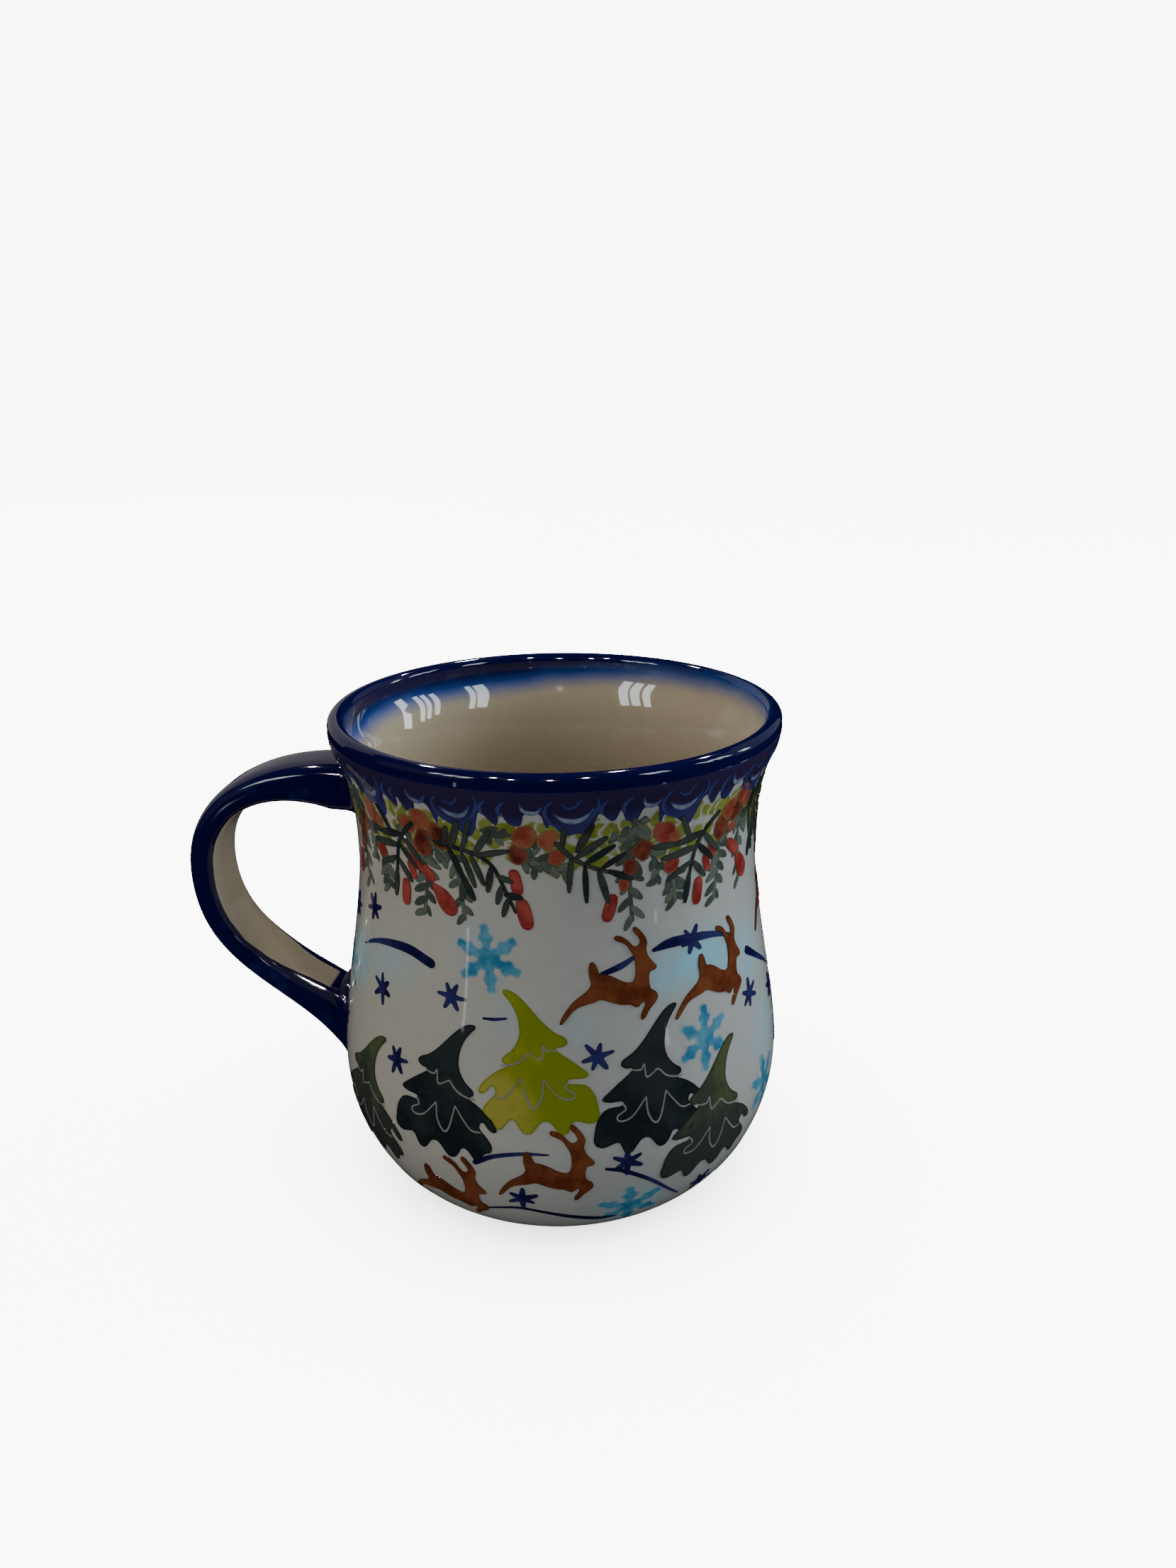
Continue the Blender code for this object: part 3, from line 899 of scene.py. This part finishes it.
# The band's lobed lower edge over one tile: x as a share of half the tile, y in mm.
BAND_EDGE = (
    (-0.94, -3.3), (-0.87, -2.9), (-0.82, -1.6), (-0.79, -0.4), (-0.69, 0.2), (-0.57, 0.1),
    (-0.50, -0.6), (-0.46, -2.6), (-0.41, -4), (-0.37, -2.9), (-0.34, -2.4), (-0.22, -3.7),
    (-0.05, -4.7), (0.12, -5.2), (0.25, -5.5), (0.34, -4.2), (0.40, -1.8), (0.44, -0.5),
    (0.50, -0.3), (0.56, -1.3), (0.64, -2.3), (0.72, -2.8), (0.77, -1.8), (0.80, -0.2), (0.84, 0),
    (0.87, -1.2), (0.93, -2.6),
)
# Brushed crescents on one tile, in mm; the first two are pale and the others thin blue.
BAND_SWIRLS = (
    ((-3, 0, 0.3), (-1.4, -1.4, 1), (0.6, -1.8, 1.3), (2.2, -1, 0.9), (3.6, 1, 0.2)),
    ((-9.3, 2.4, 0.2), (-8.9, 0.9, 0.8), (-7.7, 0.2, 1.1), (-6.2, 0.5, 0.7), (-5.3, 1.8, 0.2)),
    ((6.6, 2.6, 0.2), (5.6, 1.6, 0.6), (5.3, 0.4, 0.9), (5.8, -0.8, 0.3)),
    ((9.6, 2.4, 0.2), (8.6, 1.5, 0.6), (8.2, 0.3, 0.8), (8.6, -0.9, 0.3)),
    ((4.3, 3.2, 0.2), (4.6, 1.6, 0.5), (3.9, -0.4, 0.7), (2.6, -2.2, 0.5), (0.8, -3.4, 0.2)),
    ((-3, 2.6, 0.2), (-4.2, 1.4, 0.5), (-4.3, -0.6, 0.7), (-3.2, -2.4, 0.5), (-1.6, -3.4, 0.2)),
    ((1.6, 3, 0.2), (0.4, 1.4, 0.5), (-0.8, 1.2, 0.4), (-1.8, 2.2, 0.2)),
)


def band_finish():
    """Dark blue-violet that turns bluer where the coat is thin."""
    finish = Finish("band")
    finish.waves()
    streak = finish.math("MULTIPLY", finish.noise(150.0, 4.0, 0.6), 0.5)
    tone = finish.math("ADD", finish.attribute("tone"), streak)
    tint = finish.mix(finish.ramp(tone, 0.60, 1.25), BAND_DARK, BAND_BLUE)
    pool = finish.ramp(finish.attribute("rim"), 0.35, 0.0, 0.0, 0.5)
    return finish.color(finish.mix(pool, tint, BAND_EDGE_BLUE))


def add_band():
    """The dark band under the lip, with a lobed lower edge and crescents."""
    half = math.pi * wall_radius_along(BAND_ALONG * MM) / MM / BAND_TILES
    rng = random.Random(3)
    skin = Skin(layer=1, grid=1.4, rings=(0.4,), spacing=0.5)
    crescents = Skin(layer=2, grid=1.5, spacing=0.4)
    edge = smooth_path([(x * half, y) for x, y in BAND_EDGE], 90)
    for k in range(BAND_TILES):
        azimuth = -105.0 + 360.0 / BAND_TILES * k
        path = [(x, y * (1 + 0.12 * math.sin(3 * k + x))) for x, y in edge]
        outline = np.array([(-half, 4.4), (-half, -3.0)] + path + [(half, -3.0), (half, 4.4)])
        skin.lay(outline, azimuth, BAND_ALONG,
                 tone=lambda flat: np.clip(0.42 - flat[:, 1] * 0.14, 0, 1))
        for i, swirl in enumerate(BAND_SWIRLS):
            crescents.lay(brush(swirl, 20), azimuth, BAND_ALONG, size=rng.uniform(0.9, 1.1),
                          tone=0.45 if i < 2 else 1.1)
    skin.build("painted_band", band_finish())
    crescents.build("band_crescents", paint_finish("pale", 0.40, 0.9))


# One repeat of the garland, drawn as points of (azimuth in degrees, distance up the wall in mm).
GARLAND_TURNS = (-83, 0, 90, 180, 270)
HANDLE_GAP = 164                      # azimuth past which the handle's root takes the place
# Dark pine sprigs: the points of the stem, then needles as (azimuth, along) at root and tip.
PINE = (
    (((-112.5, 88.6), (-107, 88.2), (-101, 87.2), (-97, 85.2), (-94, 80.6), (-91.5, 76.4)),
     ((-108, 88, -105, 93.8), (-105, 87.6, -101.6, 94.4), (-101.5, 87.4, -97, 92.6),
      (-101, 87.2, -92.6, 88.6), (-108.6, 87.8, -105, 81.8), (-105, 87.2, -102, 80.8),
      (-102.6, 87, -99.6, 81.4), (-97.4, 85, -98.6, 80.2), (-96, 83.4, -92, 82.4),
      (-95, 81.4, -96.2, 78), (-94, 79.8, -90, 79.4), (-93.4, 79, -94.8, 75.6),
      (-104.6, 82, -106, 77.8), (-105, 82, -102.4, 78.2), (-110, 88.4, -108.4, 92.4))),
    (((-81, 90.4), (-77.6, 87.6), (-74, 85.8), (-69.5, 84.4), (-64.6, 83)),
     ((-76, 87.4, -69, 91), (-74, 86, -66.8, 89.2), (-69.8, 84.8, -64, 87.4), (-77.4, 87.4, -78, 80.6),
      (-74, 85.6, -73.6, 78.4), (-70.6, 84.6, -68, 78), (-68, 84.2, -61.8, 82),
      (-79.6, 89.4, -79, 93.6), (-76, 88.6, -72.4, 94))),
    (((-36, 91.4), (-40.4, 88.4), (-42.6, 86), (-44, 82.4), (-45, 78)),
     ((-41, 88.2, -49.6, 87.2), (-42.8, 85.6, -53.4, 84.8), (-43.8, 83, -51.4, 80.4),
      (-40.8, 88, -34.2, 83.2), (-42.4, 86, -36.4, 82), (-43.4, 82.6, -39, 79),
      (-44.6, 80.4, -45.8, 75), (-49, 87.3, -56.6, 87.6), (-45, 87.6, -49, 93))),
)
# Softer grey-green sprigs: the stem, length of the leaves and how many pairs.
SOFT_SPRIGS = (
    (((-91, 88.4), (-85, 86.8), (-78.6, 84.2)), 3.3, 5),
    (((-62, 94), (-61, 89), (-62.4, 83), (-61.6, 73.8)), 4.2, 8),
    (((-68, 90), (-64, 91.4), (-59.6, 94.4)), 2.2, 3),
    (((-57.4, 87), (-54.6, 83.4), (-55.6, 80.2)), 2.6, 3),
    (((-51.6, 82.6), (-49.6, 79.4), (-49, 75.8)), 3.6, 4),
    (((-34.2, 86.6), (-33.4, 81), (-35, 73.2)), 3.8, 6),
    (((-118.6, 88.6), (-114, 87.6), (-110, 85.2)), 2.9, 4),
    (((-28, 92.4), (-24, 84), (-22.4, 74)), 3.4, 6),
    (((-99, 92.6), (-96, 91.4), (-92, 92)), 2.4, 3),
    (((-86, 92.6), (-88.6, 88.4), (-86, 84.6)), 2.4, 3),
    (((-119, 92), (-122, 89.4), (-121.4, 85)), 2.6, 4),
)
# Berries: azimuth, distance up the wall, size and colour.
BERRIES = (
    (-116.4, 92.8, 1, "orange"), (-121.4, 91, 1, "orange"), (-112.4, 91, 0.8, "red"),
    (-118.6, 86.4, 0.55, "red"), (-88.4, 91.8, 1.05, "orange"), (-90.6, 87.8, 0.9, "dark"),
    (-82.8, 91, 0.9, "orange"), (-80.8, 87.6, 0.8, "red"), (-59.3, 87.4, 1, "dark"),
    (-53.4, 90.4, 1.1, "red"), (-50, 88.8, 0.7, "orange"), (-51, 83.2, 0.8, "red"),
    (-62.6, 84.2, 0.7, "dark"), (-64, 81.2, 0.55, "red"), (-37, 83.6, 0.75, "red"),
    (-33.4, 88, 1.1, "dark"), (-28, 89.8, 1.1, "dark"),
)
# Drops and pods: outline, azimuth, distance up the wall, turn and size.
HANGING = (
    (DROP, -111.2, 77.2, 0, 1), (POD, -116.8, 82.2, 50, 0.85), (POD, -91.2, 82.4, 10, 0.8),
    (POD, -89.2, 76.2, 12, 0.95), (POD, -67.6, 76.8, -16, 0.85), (POD, -41.4, 76.4, -6, 0.85),
    (POD, -38.4, 81.4, 20, 0.6),
)
# Rows of leaves: how many, distance up the wall and radius in mm.
LEAF_ROWS = ((96, 92.8, 2.6), (66, 86.8, 2.35), (74, 89.8, 2.25))


def repeats(azimuth):
    """Azimuths of one garland shape in every repeat, leaving out the place of the handle."""
    return [azimuth + turn for turn in GARLAND_TURNS if abs(azimuth + turn) < HANDLE_GAP]


def needle(start, end, wide):
    """A pine needle: thin where it leaves the stem, full in the middle, round at its tip."""
    widths = (0.5 * wide, wide, 0.9 * wide, 0.55 * wide)
    return [(*(start + (end - start) * t), w) for t, w in zip((0.0, 0.35, 0.75, 1.0), widths)]


def pine_sprig(skin, rng, stem, needles):
    """A dark sprig with drawn needles."""
    azimuth, along = stem[0]
    line = [(*local(p, azimuth, along), 1.0 - 0.1 * i) for i, p in enumerate(stem)]
    shapes = [brush(line, 6 * len(line))]
    for ends in needles:
        root, tip = local(ends[:2], azimuth, along), local(ends[2:], azimuth, along)
        shapes.append(brush(needle(root, tip, rng.uniform(1.1, 1.6)), 9))
    for place in repeats(azimuth):
        for shape in shapes:
            skin.lay(shape, place, along, tone=rng.uniform(0.2, 0.7))


def soft_sprig(skin, rng, stem, leaf, pairs):
    """A softer sprig whose leaves stand in pairs and grow shorter towards the tip."""
    azimuth, along = stem[0]
    line = smooth_path([(*local(p, azimuth, along), 0.8) for p in stem], 4 * pairs + 1)
    way = np.gradient(line[:, :2], axis=0)
    shapes = [brush(line[::4], 14)]
    for i in range(1, 4 * pairs + 1, 2):
        angle = math.atan2(way[i, 1], way[i, 0]) + math.radians(rng.uniform(34, 62)) * (2 - i % 4)
        reach = leaf * (1.0 - 0.3 * i / (4 * pairs)) * rng.uniform(0.8, 1.15)
        start = line[i, :2]
        end = start + reach * np.array((math.cos(angle), math.sin(angle)))
        shapes.append(brush(needle(start, end, rng.uniform(1.2, 1.6)), 9))
    for place in repeats(azimuth):
        for shape in shapes:
            skin.lay(shape, place, along, tone=rng.uniform(0.2, 0.8))


def add_leaves(rng):
    """A loose row of sprayed yellow-green leaves behind the sprigs."""
    skin = Skin(grid=1.2, rings=(0.35, 0.8, 1.3), spacing=0.5)
    for count, along, radius in LEAF_ROWS:
        for k in range(count):
            outline = blot(rng, radius * rng.uniform(0.75, 1.2), 1.1)
            azimuth = 360 / count * (k + rng.uniform(-0.3, 0.3))
            skin.lay(outline, azimuth, along + rng.uniform(-1.3, 1.3), turn=rng.uniform(-60, 60))
    finish = sprayed_finish("yellow_green", (0.25, 0.28, 0.055), (0.17, 0.20, 0.025), 0.8)
    skin.build("painted_leaves", finish)


def add_berries(rng):
    """Round berries in three reds."""
    for kind in ("orange", "red", "dark"):
        skin = Skin(layer=2, grid=1.2, rings=(0.3, 0.7), spacing=0.45)
        for azimuth, along, size, which in BERRIES:
            if which == kind:
                for place in repeats(azimuth):
                    skin.lay(blot(rng, 2.2, 1.15), place, along, turn=rng.uniform(-40, 40), size=size)
        skin.build("painted_berry_" + kind, paint_finish("berry_" + kind, 0.7, 0.75))


def add_garland():
    """Pine sprigs, yellow-green leaves and red berries hanging all round under the band."""
    rng = random.Random(11)
    add_leaves(rng)
    add_berries(rng)
    drops = Skin(layer=3, grid=1.3, rings=(0.3, 0.6), spacing=0.45)
    for outline, azimuth, along, turn, size in HANGING:
        for place in repeats(azimuth):
            drops.lay(soften(outline), place, along, turn=turn, size=size)
    drops.build("painted_drops", paint_finish("drop_red", 0.3))
    kinds = (("soft", 1, soft_sprig, SOFT_SPRIGS), ("dark", 4, pine_sprig, PINE))
    for kind, layer, sprig, places in kinds:
        skin = Skin(layer=layer, grid=2.0, rings=(0.22,), spacing=0.5)
        for place in places:
            sprig(skin, rng, *place)
        skin.build(f"painted_{kind}_needles", paint_finish(kind + "_needles", 0.28))


# ---------------- stage, lights, camera
PANE_AIM = Vector((0.0, 0.0, 0.09))   # the point that panes and lamps face
PANE_REACH = 1.5                      # and their distance from it
# Window panes as (azimuth, elevation, size), then small lamps as (azimuth, elevation).
WINDOW_PANES = (
    (24, 16, (0.16, 0.30)), (12, 24, (0.09, 0.42)), (7, 26, (0.08, 0.42)), (1, 29, (0.09, 0.42)),
    (-24, 33, (0.09, 0.42)), (-31, 34, (0.17, 0.42)), (-128, 32, (0.14, 0.36)),
    (-136, 32, (0.14, 0.36)), (-144, 31, (0.12, 0.36)),
)
CEILING_LAMPS = ((-84, 42), (-106, 44), (-122, 55), (-60, 60), (85, 55), (60, 48), (130, 50))


def area_light(name, place, size, power, color, target=(0.0, 0.0, 0.06)):
    """A rectangular light that faces a point."""
    data = bpy.data.lights.new(name, "AREA")
    data.shape = "RECTANGLE"
    data.size, data.size_y = size
    data.energy = power
    data.color = color
    light = bpy.data.objects.new(name, data)
    light.location = place
    light.rotation_euler = (Vector(target) - Vector(place)).to_track_quat("-Z", "Y").to_euler()
    bpy.context.collection.objects.link(light)
    return light


def pane(name, azimuth, elevation, size, glow, color=(0.86, 0.94, 1.0)):
    """A window pane or lamp that is only seen mirrored in the glaze."""
    a, e = math.radians(azimuth), math.radians(elevation)
    way = Vector((math.cos(e) * math.cos(a), math.cos(e) * math.sin(a), math.sin(e)))
    power = glow * size[0] * size[1] * math.pi
    light = area_light(name, PANE_AIM + PANE_REACH * way, size, power, color, PANE_AIM)
    light.visible_diffuse = False


def table_strip(name, azimuth, reach, length):
    """A thin strip on the table, its length pointing at the mug, that the lower wall mirrors."""
    a, width = math.radians(azimuth), 6.0 * MM
    place = (reach * math.cos(a), reach * math.sin(a), 2.0 * MM)
    power = 3.0 * math.pi * width * length
    strip = area_light(name, place, (width, length), power, (0.9, 0.95, 1.0))
    strip.rotation_euler = (math.pi, 0.0, a - math.pi / 2)
    strip.visible_diffuse = strip.visible_camera = False


def stage_finish():
    """Matt white that glows, and glows less close to the mug, so that the mug has a soft shadow."""
    finish = Finish("stage_white", roughness=0.9)
    finish.color((0.90, 0.90, 0.90))
    finish.put(finish.shader.inputs["Specular IOR Level"], 0.0)
    finish.put(finish.shader.inputs["Emission Color"], (1.0, 1.0, 1.0))
    contact = finish.node("ShaderNodeAmbientOcclusion", samples=12)
    finish.put(contact.inputs["Distance"], 0.05)
    shade = finish.ramp(contact.outputs["AO"], 0.0, 1.0, 2.0, 9.0)
    finish.put(finish.shader.inputs["Emission Strength"], shade)
    return finish.material


def add_stage():
    """A pale floor that curves up into a pale backdrop all round."""
    radius, corner, height = 3.0, 1.0, 4.0
    angles = [math.pi / 24 * i for i in range(13)]
    profile = [(radius - corner + corner * math.sin(a), corner - corner * math.cos(a)) for a in angles]
    profile.append((radius, height))
    count = 96
    turns = [2 * math.pi * k / count for k in range(count)]
    verts = [(r * math.cos(t), r * math.sin(t), z) for r, z in profile for t in turns]
    faces = [tuple(range(count))]
    for row in range(0, count * (len(profile) - 1), count):
        for k in range(count):
            n = (k + 1) % count
            faces.append((row + k, row + n, row + count + n, row + count + k))
    stage = add_mesh("stage_floor", verts, faces, [stage_finish()])
    stage.visible_diffuse = False
    stage.visible_glossy = False


def add_world():
    """An even, dim light from all round that the glaze doesn't mirror."""
    world = bpy.data.worlds.new("studio")
    world.use_nodes = True
    world.node_tree.nodes["Background"].inputs["Color"].default_value = (0.95, 0.97, 1.0, 1)
    world.node_tree.nodes["Background"].inputs["Strength"].default_value = 0.27
    world.cycles_visibility.glossy = False
    bpy.context.scene.world = world


def add_lights():
    """Soft light for the clay, and small bright panes for the glaze to mirror."""
    soft = (
        area_light("overhead", (-0.15, 0.25, 1.0), (0.9, 0.9), 4.2, (1.0, 0.96, 0.90)),
        area_light("window_right", (0.90, 0.32, 0.45), (0.5, 0.7), 8.0, (0.85, 0.95, 1.0)),
        area_light("front_right", (0.80, -0.85, 0.40), (0.6, 0.6), 1.6, (0.94, 0.97, 1.0)),
        area_light("back_left", (-0.70, 0.90, 0.45), (0.7, 0.7), 2.6, (1.0, 0.97, 0.93)),
        area_light("front_left", (-0.85, -0.60, 0.45), (0.5, 0.5), 2.8, (1.0, 0.95, 0.88)),
    )
    for light in soft:
        light.visible_glossy = False
    for i, (azimuth, elevation, size) in enumerate(WINDOW_PANES):
        pane(f"pane_{i}", azimuth, elevation, size, 13.0)
    for i, (azimuth, elevation) in enumerate(CEILING_LAMPS):
        pane(f"lamp_{i}", azimuth, elevation, (0.05, 0.05), 1500.0, (1.0, 0.90, 0.72))
    table_strip("table_left", -127, 0.275, 0.08)
    table_strip("table_right", -31, 0.215, 0.03)
    pane("room_right", 40, 20, (1.6, 1.2), 0.25)
    pane("room_left", -150, 20, (1.4, 1.2), 0.12, (1.0, 0.92, 0.82))
    pane("room_back", 132, 16, (1.5, 1.3), 0.33, (1.0, 0.95, 0.90))


def add_camera():
    """The photograph's view: from in front and above, with the handle to the left."""
    data = bpy.data.cameras.new("camera")
    data.sensor_width = 36.0
    data.lens = 30.92
    camera = bpy.data.objects.new("camera", data)
    eye = Vector((0.0424, -0.2564, 0.1729))
    target = Vector((0.0070, -0.0037, 0.0846))
    look = (target - eye).to_track_quat("-Z", "Y").to_matrix().to_4x4()
    roll = Matrix.Rotation(math.radians(-0.58), 4, "Z")
    camera.matrix_world = Matrix.Translation(eye) @ look @ roll
    bpy.context.collection.objects.link(camera)
    bpy.context.scene.camera = camera


add_camera()
add_stage()
add_world()
add_lights()
add_vessel()
add_handle()
add_roots()
add_band()
add_garland()
add_firs()
add_deer()
add_cobalt()
add_flakes()
